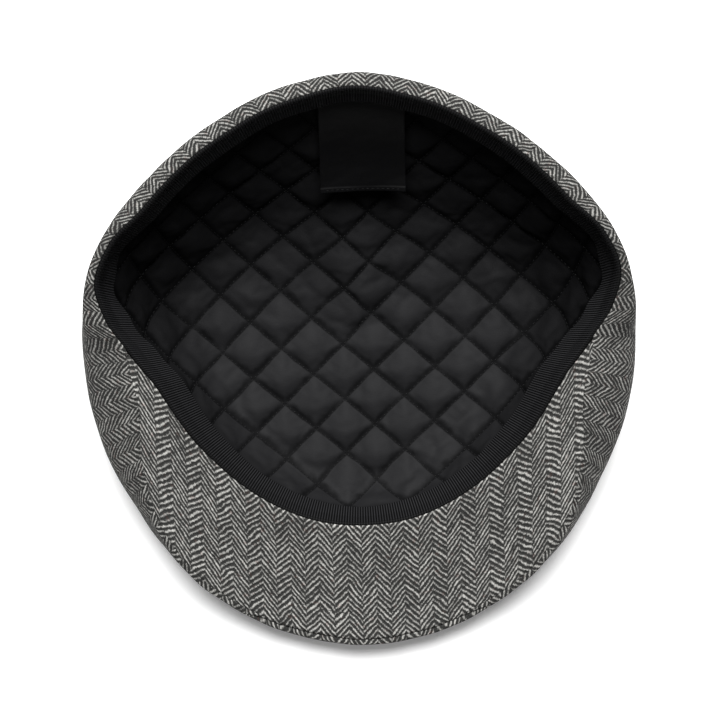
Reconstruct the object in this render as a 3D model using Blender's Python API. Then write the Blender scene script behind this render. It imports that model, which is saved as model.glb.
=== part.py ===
"""Flat cap in herringbone tweed, upside down on its crown: metres, +Z up, peak towards -Y.

Every loop of the cap is star-shaped around one upright axis, so each surface is a set of
sections at azimuths around it: 0 degrees is the front of the peak, 90 the side, 180 the back.
"""
import math
from collections import namedtuple
from functools import lru_cache

import bmesh
import bpy
from mathutils import Vector, geometry

# Overall size
CAP_LENGTH = 0.2164
CAP_WIDTH = 0.2096
CAP_HEIGHT = 0.0925

# Walls and seams
TWEED_THICKNESS = 0.0018
SEAM_GAP = 0.0004
CLEARANCE = 0.0004
LIP_WIDTH = 0.0024
LIP_DROP = 0.0008

# Peak
PEAK_THICKNESS = 0.0035
PEAK_SAG = 0.0015

# Sweatband ribbon
BAND_WIDTH = 0.015
BAND_THICKNESS = 0.001

# Quilted lining
DIAMOND_WIDTH = 0.0231
DIAMOND_LENGTH = 0.0210
QUILT_TURN = 2.3
QUILT_SHIFT_X = -0.0063
QUILT_SHIFT_Y = -0.0049
QUILT_DEPTH = 0.0018
LINING_THICKNESS = 0.0013
LINING_EDGE_DROP = 0.0015
LINING_CENTRE_HEIGHT = 0.0095
QUILT_FADE = 0.012

# Label flap
LABEL_WIDTH = 0.032
LABEL_LENGTH = 0.054
LABEL_OFFSET = 0.003
LABEL_THICKNESS = 0.001
LABEL_TUCK = 0.006
LABEL_END_SLOPE = 30.0
LABEL_HEM = 0.0023
LABEL_HEM_THICKNESS = 0.0016

# Where the side panels start beside the peak, and where they reach their full depth
SIDE_START = 24.0
TAPER_START = 18.0
TAPER_END = 46.0
PEAK_END = 84.0

# Sections of the shell. Radii are shares of the half length and half width, heights are
# shares of the cap's height, and the band's lean is a share of its width.
Section = namedtuple("Section", (
    "azimuth rim_radius rim_height mouth_radius mouth_height bulge_radius bulge_height "
    "seam_radius seam_height belly_radius belly_height foot_radius band_lean"))
SECTIONS = [
    Section(0, 0.690, 0.362, 1.100, 0.162, 1.127, 0.105, 1.096, 0.030, 1.020, 0.004, 0.930, 0.39),
    Section(15, 0.692, 0.370, 1.090, 0.165, 1.114, 0.105, 1.085, 0.030, 1.010, 0.004, 0.925, 0.41),
    Section(30, 0.690, 0.400, 1.062, 0.230, 1.086, 0.130, 1.056, 0.035, 0.985, 0.005, 0.900, 0.44),
    Section(45, 0.694, 0.445, 1.010, 0.350, 1.049, 0.190, 1.015, 0.050, 0.950, 0.010, 0.860, 0.48),
    Section(60, 0.714, 0.505, 0.912, 0.475, 1.022, 0.280, 0.975, 0.075, 0.900, 0.015, 0.810, 0.54),
    Section(75, 0.750, 0.570, 0.830, 0.578, 1.008, 0.355, 0.950, 0.110, 0.865, 0.022, 0.770, 0.60),
    Section(86, 0.828, 0.632, 0.832, 0.632, 1.002, 0.405, 0.940, 0.135, 0.845, 0.030, 0.740, 0.62),
    Section(94, 0.905, 0.690, 0.905, 0.690, 0.999, 0.450, 0.935, 0.155, 0.830, 0.036, 0.710, 0.56),
    Section(102, 0.951, 0.750, 0.951, 0.750, 0.995, 0.495, 0.930, 0.180, 0.800, 0.045, 0.660, 0.46),
    Section(110, 0.928, 0.800, 0.928, 0.800, 0.975, 0.535, 0.905, 0.205, 0.760, 0.055, 0.590, 0.38),
    Section(120, 0.866, 0.845, 0.866, 0.845, 0.938, 0.580, 0.865, 0.250, 0.690, 0.070, 0.490, 0.30),
    Section(135, 0.830, 0.905, 0.830, 0.905, 0.900, 0.635, 0.825, 0.310, 0.600, 0.090, 0.360, 0.26),
    Section(150, 0.812, 0.950, 0.812, 0.950, 0.878, 0.680, 0.800, 0.370, 0.540, 0.105, 0.280, 0.25),
    Section(165, 0.812, 0.985, 0.812, 0.985, 0.878, 0.705, 0.795, 0.410, 0.510, 0.115, 0.240, 0.24),
    Section(180, 0.823, 1.000, 0.823, 1.000, 0.886, 0.715, 0.800, 0.430, 0.500, 0.120, 0.230, 0.23),
]

# Sections of the lining: radii and heights are shares of the rim's own at that azimuth.
Pouch = namedtuple("Pouch", (
    "azimuth cheek_radius cheek_height knee_radius knee_height bed_radius bed_height"))
POUCHES = [
    Pouch(0, 0.935, 0.60, 0.865, 0.36, 0.72, 0.225),
    Pouch(45, 0.910, 0.60, 0.840, 0.35, 0.70, 0.210),
    Pouch(75, 0.900, 0.63, 0.820, 0.36, 0.68, 0.200),
    Pouch(100, 0.915, 0.66, 0.820, 0.38, 0.66, 0.200),
    Pouch(130, 0.945, 0.70, 0.820, 0.46, 0.60, 0.240),
    Pouch(180, 0.960, 0.76, 0.820, 0.60, 0.487, 0.310),
]

# Rows of points down each panel, as shares of the way
SIDE_ROWS = (0.0, 0.05, 0.12, 0.24, 0.38, 0.52, 0.66, 0.82, 1.0)
TOP_ROWS = (0.0, 0.09, 0.20, 0.35, 0.52, 0.75, 1.0)
FLOOR_RINGS = (0.35, 0.7)
PEAK_ROWS = (0.0, 0.25, 0.5, 0.75, 1.0)
BAND_ROWS = (0.0, 0.3, 0.65, 1.0)
LABEL_ROWS = 9
LABEL_COLUMNS = 6
FRONT_COLUMNS = (0.0, 0.33, 0.66, 0.94)
AZIMUTH_STEP = 6.0
RING_COLUMNS = 60
LABEL_STEPS = 24

# Small steps that surface directions are taken over: along a surface, and round the axis
PROBE = 0.0004
PROBE_TURN = 0.3
SHARP_ANGLE = 50.0

HALF_WIDTH = CAP_WIDTH / 2
HALF_LENGTH = CAP_LENGTH / (SECTIONS[0].bulge_radius + SECTIONS[-1].bulge_radius)
AXIS_Y = HALF_LENGTH * (SECTIONS[0].bulge_radius - SECTIONS[-1].bulge_radius) / 2


def clear_scene():
    for obj in list(bpy.data.objects):
        bpy.data.objects.remove(obj)


def curve(knots, values, at, flat_ends=False):
    """Cubic through the points that never overshoots them."""
    rates = [(b - a) / (q - p) for a, b, p, q in zip(values, values[1:], knots, knots[1:])]
    slopes = [0.0 if a * b <= 0 else 2 * a * b / (a + b) for a, b in zip(rates, rates[1:])]
    ends = (0.0, 0.0) if flat_ends else (rates[0], rates[-1])
    slopes = [ends[0]] + slopes + [ends[1]]
    at = min(max(at, knots[0]), knots[-1])
    i = max(j for j in range(len(knots) - 1) if knots[j] <= at)
    span = knots[i + 1] - knots[i]
    t = (at - knots[i]) / span
    return ((2 * t ** 3 - 3 * t ** 2 + 1) * values[i] + (t ** 3 - 2 * t ** 2 + t) * span * slopes[i]
            + (3 * t ** 2 - 2 * t ** 3) * values[i + 1] + (t ** 3 - t ** 2) * span * slopes[i + 1])


def blend(share):
    """Smooth step from 0 to 1."""
    share = min(max(share, 0.0), 1.0)
    return share * share * (3 - 2 * share)


def read_table(table, azimuth):
    """Row of a table of sections at any azimuth; both halves of the cap are alike."""
    turn = abs((azimuth + 180) % 360 - 180)
    columns = list(zip(*table))
    return type(table[0])(*[curve(columns[0], column, turn, flat_ends=True) for column in columns])


@lru_cache(maxsize=None)
def section(azimuth):
    return read_table(SECTIONS, azimuth)


@lru_cache(maxsize=None)
def pouch(azimuth):
    return read_table(POUCHES, azimuth)


@lru_cache(maxsize=None)
def heading(azimuth):
    """Direction in plan at an azimuth, and the length of a whole radius share there."""
    angle = math.radians(azimuth)
    ray = Vector((math.sin(angle) * HALF_WIDTH, -math.cos(angle) * HALF_LENGTH, 0))
    return ray.normalized(), ray.length


def place(azimuth, radius, height):
    return Vector((0, AXIS_Y, height)) + heading(azimuth)[0] * radius


def rim(azimuth):
    """Radius and height of the head opening's edge, in metres."""
    row = section(azimuth)
    return row.rim_radius * heading(azimuth)[1], row.rim_height * CAP_HEIGHT


def run_lengths(outline):
    """Length along an outline at each of its points."""
    lengths = [0.0]
    for (r0, z0), (r1, z1) in zip(outline, outline[1:]):
        lengths.append(lengths[-1] + math.hypot(r1 - r0, z1 - z0))
    return lengths


@lru_cache(maxsize=None)
def crown_outline(azimuth):
    """Shell section from the mouth over the bulge and the seam to the floor and the axis."""
    row = section(azimuth)
    reach = heading(azimuth)[1]
    mouth = (row.mouth_radius * reach, row.mouth_height * CAP_HEIGHT)
    outline = [
        mouth,
        (mouth[0] + LIP_WIDTH, mouth[1] - LIP_DROP),
        (row.bulge_radius * reach, row.bulge_height * CAP_HEIGHT),
        (row.seam_radius * reach, row.seam_height * CAP_HEIGHT),
        (row.belly_radius * reach, row.belly_height * CAP_HEIGHT),
        (row.foot_radius * reach, 0.0),
        (0.0, 0.0)]
    return outline, run_lengths(outline)


def along(outline, lengths, azimuth, length):
    radii, heights = zip(*outline)
    return place(azimuth, curve(lengths, radii, length), curve(lengths, heights, length))


def crown_point(azimuth, length):
    outline, lengths = crown_outline(azimuth)
    return along(outline, lengths, azimuth, length)


def seam_length(azimuth):
    """Length down the shell section to the seam between the side and the top panel."""
    turn = abs((azimuth + 180) % 360 - 180)
    share = blend((turn - TAPER_START) / (TAPER_END - TAPER_START))
    return share * crown_outline(azimuth)[1][3]


def foot_length(azimuth):
    return crown_outline(azimuth)[1][5]


def band_lean(azimuth):
    return section(azimuth).band_lean * BAND_WIDTH


def band_point(azimuth, width, outward=0.0):
    """Head side of the sweatband, so far down its width, moved outward by a distance."""
    radius, height = rim(azimuth)
    share = width / BAND_WIDTH
    drop = math.sqrt(BAND_WIDTH ** 2 - band_lean(azimuth) ** 2)
    head_side = radius - CLEARANCE - BAND_THICKNESS - band_lean(azimuth) * share
    return place(azimuth, head_side + outward, height - drop * share)


@lru_cache(maxsize=None)
def lining_outline(azimuth):
    """Lining section from the axis out to its edge behind the sweatband."""
    row = pouch(azimuth)
    radius, height = rim(azimuth)
    tuck = PEAK_THICKNESS + LINING_EDGE_DROP
    room = BAND_THICKNESS + LABEL_THICKNESS + 2 * CLEARANCE
    edge = band_point(azimuth, tuck, outward=room)
    edge_radius = (edge - Vector((0, AXIS_Y, edge.z))).length
    outline = [
        (0.0, LINING_CENTRE_HEIGHT),
        (row.bed_radius * radius, row.bed_height * height),
        (row.knee_radius * radius, row.knee_height * height),
        (row.cheek_radius * radius, row.cheek_height * height),
        (edge_radius, edge.z)]
    return outline, run_lengths(outline)


def lining_point(azimuth, length):
    outline, lengths = lining_outline(azimuth)
    return along(outline, lengths, azimuth, length)


def peak_point(azimuth, share):
    """Underside of the peak, from the head opening's edge to its outer seam."""
    row = section(azimuth)
    radius, height = rim(azimuth)
    inner = radius + CLEARANCE
    outer = row.mouth_radius * heading(azimuth)[1] - CLEARANCE
    sag = 4 * PEAK_SAG * share * (1 - share) * blend((outer - inner) / BAND_WIDTH)
    level = height + (row.mouth_height * CAP_HEIGHT - height) * share
    return place(azimuth, inner + (outer - inner) * share, level - sag)


def normal_of(surface, u, v, step_u, step_v, facing):
    """Unit normal of a surface at (u, v), turned to the side of a guide direction."""
    du = surface(u + step_u, v) - surface(u - step_u, v)
    dv = surface(u, v + step_v) - surface(u, v - step_v)
    normal = du.cross(dv).normalized()
    return normal if normal.dot(facing) > 0 else -normal


def new_material(name, colour, roughness):
    material = bpy.data.materials.new(name)
    material.use_nodes = True
    shader = material.node_tree.nodes["Principled BSDF"]
    shader.inputs["Base Color"].default_value = (*colour, 1.0)
    shader.inputs["Roughness"].default_value = roughness
    shader.inputs["Metallic"].default_value = 0.0
    material.diffuse_color = (*colour, 1.0)
    return material


def thicken(name, sheet, faces, depths, material):
    """Make a closed wall of a sheet of (point, normal): each point goes down its normal."""
    count = len(sheet)
    skin = [point for point, _ in sheet]
    back = [point - normal * depth for (point, normal), depth in zip(sheet, depths)]
    edges = {(a, b) for face in faces for a, b in zip(face, face[1:] + face[:1])}
    border = sorted((a, b) for a, b in edges if (b, a) not in edges)
    solid_faces = list(faces)
    solid_faces += [tuple(i + count for i in reversed(face)) for face in faces]
    solid_faces += [(b, a, a + count, b + count) for a, b in border]
    mesh = bpy.data.meshes.new(name)
    mesh.from_pydata([tuple(point) for point in skin + back], [], solid_faces)
    work = bmesh.new()
    work.from_mesh(mesh)
    bmesh.ops.recalc_face_normals(work, faces=work.faces)
    bmesh.ops.triangulate(work, faces=work.faces)
    work.to_mesh(mesh)
    work.free()
    mesh.shade_smooth()
    mesh.set_sharp_from_angle(angle=math.radians(SHARP_ANGLE))
    mesh.materials.append(material)
    obj = bpy.data.objects.new(name, mesh)
    bpy.context.collection.objects.link(obj)
    return obj


def grid_faces(columns, rows, ring=False):
    """Quads of a grid stored column by column; a ring joins its last column to its first."""
    last = columns if ring else columns - 1
    faces = []
    for i in range(last):
        here = i * rows
        beyond = (i + 1) % columns * rows
        for j in range(rows - 1):
            faces.append((here + j, here + j + 1, beyond + j + 1, beyond + j))
    return faces


def crown_sample(azimuth, length):
    """Point and outward normal of the shell, which looks down and outward."""
    length = max(length, 0.0)
    point = crown_point(azimuth, length)
    span = crown_outline(azimuth)[1][-1]
    inside = Vector((0, AXIS_Y, CAP_HEIGHT))
    ahead = min(length + PROBE, span)
    behind = max(length - PROBE, 0.0)
    du = crown_point(azimuth + PROBE_TURN, length) - crown_point(azimuth - PROBE_TURN, length)
    dv = crown_point(azimuth, ahead) - crown_point(azimuth, behind)
    normal = du.cross(dv).normalized()
    return point, normal if normal.dot(point - inside) > 0 else -normal


def make_side_panel(name, side, material):
    """One side panel, from beside the peak round to the centre-back seam."""
    half_gap = math.degrees(SEAM_GAP / 2 / (SECTIONS[-1].rim_radius * HALF_LENGTH))
    end = 180 - half_gap
    steps = round((end - SIDE_START) / AZIMUTH_STEP)
    sheet = []
    for i in range(steps + 1):
        azimuth = side * (SIDE_START + (end - SIDE_START) * i / steps)
        depth = seam_length(azimuth) - SEAM_GAP / 2
        sheet += [crown_sample(azimuth, depth * share) for share in SIDE_ROWS]
    faces = grid_faces(steps + 1, len(SIDE_ROWS))
    return thicken(name, sheet, faces, [TWEED_THICKNESS] * len(sheet), material)


def make_top_panel(material):
    """The top panel: the floor patch, the belly and, at the front, the edge over the peak."""
    steps = round((180 - SIDE_START) / AZIMUTH_STEP)
    half = [SIDE_START + (180 - SIDE_START) * i / steps for i in range(steps + 1)]
    front = [SIDE_START * share for share in FRONT_COLUMNS]
    azimuths = [-a for a in reversed(front[1:] + half[:-1])] + front + half
    sheet = []
    for azimuth in azimuths:
        start = seam_length(azimuth) + SEAM_GAP / 2 if abs(azimuth) >= SIDE_START else 0.0
        foot = foot_length(azimuth)
        sheet += [crown_sample(azimuth, start + (foot - start) * share) for share in TOP_ROWS]
        radius = section(azimuth).foot_radius * heading(azimuth)[1]
        sheet += [(place(azimuth, radius * (1 - share), 0.0), Vector((0, 0, -1)))
                  for share in FLOOR_RINGS]
    rows = len(TOP_ROWS) + len(FLOOR_RINGS)
    faces = grid_faces(len(azimuths), rows, ring=True)
    centre = len(sheet)
    sheet.append((place(0.0, 0.0, 0.0), Vector((0, 0, -1))))
    for i in range(len(azimuths)):
        inner = i * rows + rows - 1
        beyond = (i + 1) % len(azimuths) * rows + rows - 1
        faces.append((inner, centre, beyond))
    return thicken("crown_top", sheet, faces, [TWEED_THICKNESS] * len(sheet), material)


def make_peak(material):
    columns = 2 * round(PEAK_END / AZIMUTH_STEP) + 1
    sheet = []
    for i in range(columns):
        azimuth = PEAK_END * (2 * i / (columns - 1) - 1)
        for share in PEAK_ROWS:
            normal = normal_of(peak_point, azimuth, share, PROBE_TURN, 0.02, Vector((0, 0, 1)))
            sheet.append((peak_point(azimuth, share), normal))
    faces = grid_faces(columns, len(PEAK_ROWS))
    return thicken("peak", sheet, faces, [PEAK_THICKNESS] * len(sheet), material)


def make_sweatband(material):
    sheet = []
    for i in range(RING_COLUMNS):
        azimuth = 360 * i / RING_COLUMNS - 180
        inward = -heading(azimuth)[0]
        for share in BAND_ROWS:
            width = share * BAND_WIDTH
            normal = normal_of(band_point, azimuth, width, PROBE_TURN, PROBE, inward)
            sheet.append((band_point(azimuth, width), normal))
    faces = grid_faces(RING_COLUMNS, len(BAND_ROWS), ring=True)
    return thicken("sweatband", sheet, faces, [BAND_THICKNESS] * len(sheet), material)


def seam_steps():
    """Steps of the flat lining from one crossing of the quilting to the next, along both seams."""
    rise = DIAMOND_WIDTH / 2 * math.tan(math.radians(QUILT_TURN))
    return (Vector((DIAMOND_WIDTH / 2, DIAMOND_LENGTH / 2 + rise)),
            Vector((-DIAMOND_WIDTH / 2, DIAMOND_LENGTH / 2 - rise)))


def quilt_flat(p, q):
    """Flat lining point that lies p and q diamonds along the two seams."""
    first, second = seam_steps()
    return Vector((QUILT_SHIFT_X, QUILT_SHIFT_Y)) + first * p + second * q


def quilt_cell(flat):
    """How many diamonds along both seams a point of the flat lining lies."""
    first, second = seam_steps()
    start = flat - Vector((QUILT_SHIFT_X, QUILT_SHIFT_Y))
    area = first.x * second.y - first.y * second.x
    return ((start.x * second.y - start.y * second.x) / area,
            (first.x * start.y - first.y * start.x) / area)


def edge_length(azimuth):
    return lining_outline(azimuth)[1][-1]


def flat_azimuth(flat):
    return math.degrees(math.atan2(flat.x, -flat.y))


def inside_lining(flat, margin):
    return flat.length < edge_length(round(flat_azimuth(flat), 3)) - margin


def quilt_mesh():
    """Flat triangles of the lining, with edges along every quilting seam."""
    border = []
    for i in range(RING_COLUMNS):
        azimuth = 360 * i / RING_COLUMNS - 180
        angle = math.radians(azimuth)
        border.append(Vector((math.sin(angle), -math.cos(angle))) * edge_length(azimuth))
    side = min(step.length for step in seam_steps())
    reach = 2 * int(max(point.length for point in border) / side)
    points = list(border)
    seams = []
    index = {}
    margin = side / 6

    def add(p, q):
        flat = quilt_flat(p, q)
        if not inside_lining(flat, margin):
            return None
        index.setdefault((p, q), len(points))
        if index[(p, q)] == len(points):
            points.append(flat)
        return index[(p, q)]

    for p in range(-reach, reach):
        for q in range(-reach, reach):
            corner = add(p, q)
            for dp, dq in ((1, 0), (0, 1)):
                middle = add(p + dp / 2, q + dq / 2)
                far = add(p + dp, q + dq)
                seams += [(a, b) for a, b in ((corner, middle), (middle, far))
                          if a is not None and b is not None]
            for dp, dq in ((0.25, 0.25), (0.75, 0.25), (0.25, 0.75), (0.75, 0.75), (0.5, 0.5)):
                add(p + dp, q + dq)
    ring = [list(range(len(border)))]
    flats, _, faces, *_ = geometry.delaunay_2d_cdt(points, seams, ring, 1, 1e-7)
    return flats, [tuple(face) for face in faces]


def make_lining(material):
    """Padded satin: pillows between sunk seams on the head side, smooth behind."""
    flats, faces = quilt_mesh()
    sheet = []
    depths = []
    for flat in flats:
        azimuth = round(flat_azimuth(flat), 3)
        edge = edge_length(azimuth)
        length = min(flat.length, edge)
        p, q = quilt_cell(flat)
        pillow = math.sqrt(abs(math.sin(math.pi * p) * math.sin(math.pi * q)))
        padding = QUILT_DEPTH * blend((edge - length) / QUILT_FADE)
        sunk = padding * (1 - pillow)
        probe = min(max(length, 5 * PROBE), edge - 2 * PROBE)
        up_and_inward = Vector((0, 0, 1)) - heading(azimuth)[0] * 0.5
        normal = normal_of(lining_point, azimuth, probe, PROBE_TURN, PROBE, up_and_inward)
        sheet.append((lining_point(azimuth, length) - normal * sunk, normal))
        depths.append(LINING_THICKNESS + padding - sunk)
    return thicken("lining", sheet, faces, depths, material)


def label_path(azimuth, length):
    """Head side of the label in a section: along the sweatband's back, then relaxing to its end."""
    start = band_point(azimuth, BAND_WIDTH - LABEL_TUCK, outward=BAND_THICKNESS + CLEARANCE)
    top_slope = math.degrees(math.acos(section(azimuth).band_lean))
    y, z = start.y, start.z
    for i in range(LABEL_STEPS):
        here = (i + 0.5) / LABEL_STEPS * length
        free = max(here - LABEL_TUCK, 0.0) / (LABEL_LENGTH - LABEL_TUCK)
        slope = math.radians(LABEL_END_SLOPE + (top_slope - LABEL_END_SLOPE) * (1 - free) ** 2)
        y -= math.cos(slope) * length / LABEL_STEPS
        z -= math.sin(slope) * length / LABEL_STEPS
    return y, z


def label_point(across, length):
    """Label point: its top follows the band's curve and its free end lies flat."""
    back_radius = rim(180)[0]
    azimuth = 180 - math.degrees(math.atan2(across, back_radius))
    edge_y, edge_z = label_path(round(azimuth, 3), length)
    middle_y, middle_z = label_path(180, length)
    flat = blend((length - LABEL_TUCK) / (LABEL_LENGTH - LABEL_TUCK))
    return Vector((across, edge_y + (middle_y - edge_y) * flat, edge_z + (middle_z - edge_z) * flat))


def make_label(material):
    sheet = []
    depths = []
    hem = 1 - LABEL_HEM / LABEL_LENGTH
    shares = [hem * j / (LABEL_ROWS - 1) for j in range(LABEL_ROWS)] + [1.0]
    for i in range(LABEL_COLUMNS + 1):
        across = LABEL_OFFSET + LABEL_WIDTH * (i / LABEL_COLUMNS - 0.5)
        for share in shares:
            length = share * LABEL_LENGTH
            normal = normal_of(label_point, across, length, PROBE, PROBE, Vector((0, -1, 1)))
            sheet.append((label_point(across, length), normal))
            depths.append(LABEL_HEM_THICKNESS if share > hem - 1e-6 else LABEL_THICKNESS)
    faces = grid_faces(LABEL_COLUMNS + 1, len(shares))
    return thicken("label", sheet, faces, depths, material)


def main():
    clear_scene()
    tweed = new_material("tweed", (0.19, 0.185, 0.175), 0.95)
    satin = new_material("quilted_satin", (0.012, 0.012, 0.014), 0.42)
    grosgrain = new_material("grosgrain", (0.010, 0.010, 0.011), 0.65)
    label_satin = new_material("label_satin", (0.008, 0.008, 0.009), 0.35)
    make_top_panel(tweed)
    make_side_panel("crown_side_left", -1, tweed)
    make_side_panel("crown_side_right", 1, tweed)
    make_peak(tweed)
    make_lining(satin)
    make_sweatband(grosgrain)
    make_label(label_satin)


main()
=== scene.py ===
"""Looks of the flat cap: cloth, ribbon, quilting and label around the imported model.

Lengths are metres. The cap lies upside down, +Z up, its peak towards -Y. Azimuths go round an
upright axis: 0 degrees is the front of the peak, 90 the side, 180 the back.
"""
import math
from collections import namedtuple
from functools import partialmethod

import bpy
import numpy as np
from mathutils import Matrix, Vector


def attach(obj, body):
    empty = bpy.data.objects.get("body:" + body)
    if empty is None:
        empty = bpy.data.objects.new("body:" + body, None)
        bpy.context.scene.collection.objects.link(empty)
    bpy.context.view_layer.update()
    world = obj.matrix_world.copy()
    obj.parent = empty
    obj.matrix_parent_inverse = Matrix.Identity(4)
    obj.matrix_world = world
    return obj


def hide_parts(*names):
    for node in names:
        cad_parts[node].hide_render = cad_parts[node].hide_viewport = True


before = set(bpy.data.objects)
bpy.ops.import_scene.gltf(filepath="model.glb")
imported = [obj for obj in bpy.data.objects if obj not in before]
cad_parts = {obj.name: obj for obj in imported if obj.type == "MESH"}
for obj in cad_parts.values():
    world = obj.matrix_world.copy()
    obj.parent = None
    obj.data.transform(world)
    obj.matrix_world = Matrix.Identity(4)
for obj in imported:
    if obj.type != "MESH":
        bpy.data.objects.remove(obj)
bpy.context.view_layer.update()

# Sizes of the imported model
CAP_LENGTH = 0.2164
CAP_WIDTH = 0.2096
CAP_HEIGHT = 0.0925
TWEED_THICKNESS = 0.0018
CLEARANCE = 0.0004
LIP_WIDTH = 0.0024
LIP_DROP = 0.0008
PEAK_THICKNESS = 0.0035
PEAK_SAG = 0.0015
BAND_WIDTH = 0.015
BAND_THICKNESS = 0.001
DIAMOND_WIDTH = 0.0231
DIAMOND_LENGTH = 0.0210
QUILT_TURN = 2.3
QUILT_SHIFT_X = -0.0063
QUILT_SHIFT_Y = -0.0049
LINING_EDGE_DROP = 0.0015
LINING_CENTRE_HEIGHT = 0.0095
LABEL_WIDTH = 0.032
LABEL_LENGTH = 0.054
LABEL_OFFSET = 0.003
LABEL_THICKNESS = 0.001
LABEL_TUCK = 0.006
LABEL_END_SLOPE = 30.0
LABEL_HEM = 0.0023
TAPER_START = 18.0
TAPER_END = 46.0
PEAK_END = 84.0

# Sections of the shell: radii are shares of the half length and half width, heights of the
# cap's height, and the band's lean is a share of its width.
Section = namedtuple("Section", (
    "azimuth rim_radius rim_height mouth_radius mouth_height bulge_radius bulge_height "
    "seam_radius seam_height belly_radius belly_height foot_radius band_lean"))
SECTIONS = [Section(*row) for row in (
    (0, 0.690, 0.362, 1.100, 0.162, 1.127, 0.105, 1.096, 0.030, 1.020, 0.004, 0.930, 0.39),
    (15, 0.692, 0.370, 1.090, 0.165, 1.114, 0.105, 1.085, 0.030, 1.010, 0.004, 0.925, 0.41),
    (30, 0.690, 0.400, 1.062, 0.230, 1.086, 0.130, 1.056, 0.035, 0.985, 0.005, 0.900, 0.44),
    (45, 0.694, 0.445, 1.010, 0.350, 1.049, 0.190, 1.015, 0.050, 0.950, 0.010, 0.860, 0.48),
    (60, 0.714, 0.505, 0.912, 0.475, 1.022, 0.280, 0.975, 0.075, 0.900, 0.015, 0.810, 0.54),
    (75, 0.750, 0.570, 0.830, 0.578, 1.008, 0.355, 0.950, 0.110, 0.865, 0.022, 0.770, 0.60),
    (86, 0.828, 0.632, 0.832, 0.632, 1.002, 0.405, 0.940, 0.135, 0.845, 0.030, 0.740, 0.62),
    (94, 0.905, 0.690, 0.905, 0.690, 0.999, 0.450, 0.935, 0.155, 0.830, 0.036, 0.710, 0.56),
    (102, 0.951, 0.750, 0.951, 0.750, 0.995, 0.495, 0.930, 0.180, 0.800, 0.045, 0.660, 0.46),
    (110, 0.928, 0.800, 0.928, 0.800, 0.975, 0.535, 0.905, 0.205, 0.760, 0.055, 0.590, 0.38),
    (120, 0.866, 0.845, 0.866, 0.845, 0.938, 0.580, 0.865, 0.250, 0.690, 0.070, 0.490, 0.30),
    (135, 0.830, 0.905, 0.830, 0.905, 0.900, 0.635, 0.825, 0.310, 0.600, 0.090, 0.360, 0.26),
    (150, 0.812, 0.950, 0.812, 0.950, 0.878, 0.680, 0.800, 0.370, 0.540, 0.105, 0.280, 0.25),
    (165, 0.812, 0.985, 0.812, 0.985, 0.878, 0.705, 0.795, 0.410, 0.510, 0.115, 0.240, 0.24),
    (180, 0.823, 1.000, 0.823, 1.000, 0.886, 0.715, 0.800, 0.430, 0.500, 0.120, 0.230, 0.23),
)]

# Sections of the lining, as shares of the rim's own radius and height
Pouch = namedtuple("Pouch", (
    "azimuth cheek_radius cheek_height knee_radius knee_height bed_radius bed_height"))
POUCHES = [Pouch(*row) for row in (
    (0, 0.935, 0.60, 0.865, 0.36, 0.72, 0.225),
    (45, 0.910, 0.60, 0.840, 0.35, 0.70, 0.210),
    (75, 0.900, 0.63, 0.820, 0.36, 0.68, 0.200),
    (100, 0.915, 0.66, 0.820, 0.38, 0.66, 0.200),
    (130, 0.945, 0.70, 0.820, 0.46, 0.60, 0.240),
    (180, 0.960, 0.76, 0.820, 0.60, 0.487, 0.310),
)]

HALF_WIDTH = CAP_WIDTH / 2
HALF_LENGTH = CAP_LENGTH / (SECTIONS[0].bulge_radius + SECTIONS[-1].bulge_radius)
AXIS_Y = HALF_LENGTH * (SECTIONS[0].bulge_radius - SECTIONS[-1].bulge_radius) / 2

# Cloth edges and seams: radii of turned edges, the row of stitches round the peak, the cloth
# along the rim behind the peak (how level it starts, how far the wall below it leans, where the
# turn from one to the other ends and how long it is, how much more cloth is taken up there) and
# the groove between the peak and the roll before it
SEAM_ROUND = 0.0008
RIM_ROUND = 0.0012
FOLD_ROUND = 0.0006
TOPSTITCH_INSET = 0.0115
FOLD_LEVEL = 0.95
FOLD_LEAN = 0.074
FOLD_END = 1.3
FOLD_TURN = 0.6
RIM_DRAW = 0.0040
RIM_DRAW_REACH = 0.010
TOUCH = 0.00006
PEAK_TIP = 1.6
STITCH_DIP = 0.00028
PEAK_SWELL = 0.00022
PEAK_SWELL_SIZE = 0.03
GROOVE_ROUND = 0.0018
GROOVE_OVERLAP = 0.0008
PEAK_STITCH_END = 62.0
SIDE_TIP = 1.5

# The herringbone on the peak: how far it is shifted across, and how the weft bows, per metre
PEAK_COLUMN_SHIFT = 0.00681
PEAK_BOW = 5.0

# Grosgrain ribbon: its ribs, the crease along it, the fold at the opening's corners, and the darker
# strip along its edge at the rim
RIB_PITCH = 0.00098
RIB_DEPTH = 0.00024
RIBBON_CREASE = 0.0008
RIBBON_TUCK = 0.0024
RIBBON_CORNER = 107.0
RIBBON_THICKNESS = 0.0006
DARK_EDGE_WIDTH = 0.0009

# The quilting: two sides of a diamond, the place of one corner, the painted shade along the seams
# (how dark, how wide, and its width before a seam against the width behind it), and the painted
# shade that darkens the satin's colour and shine away from a point in front of the middle, in
# millimetres
RISE = DIAMOND_WIDTH / 2 * math.tan(math.radians(QUILT_TURN))
FIRST = np.array([DIAMOND_WIDTH / 2, DIAMOND_LENGTH / 2 + RISE])
SECOND = np.array([-DIAMOND_WIDTH / 2, DIAMOND_LENGTH / 2 - RISE])
SHIFT = np.array([QUILT_SHIFT_X, QUILT_SHIFT_Y])
FURROW_SHADE = 0.42
FURROW_WIDTH = 0.052
FURROW_LEAN = 0.30
FALLOFF_START = 45.0
FALLOFF_END = 95.0
FALLOFF_SHADE = 0.42
FALLOFF_CENTRE = 20.0

MM = 1000.0


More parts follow.
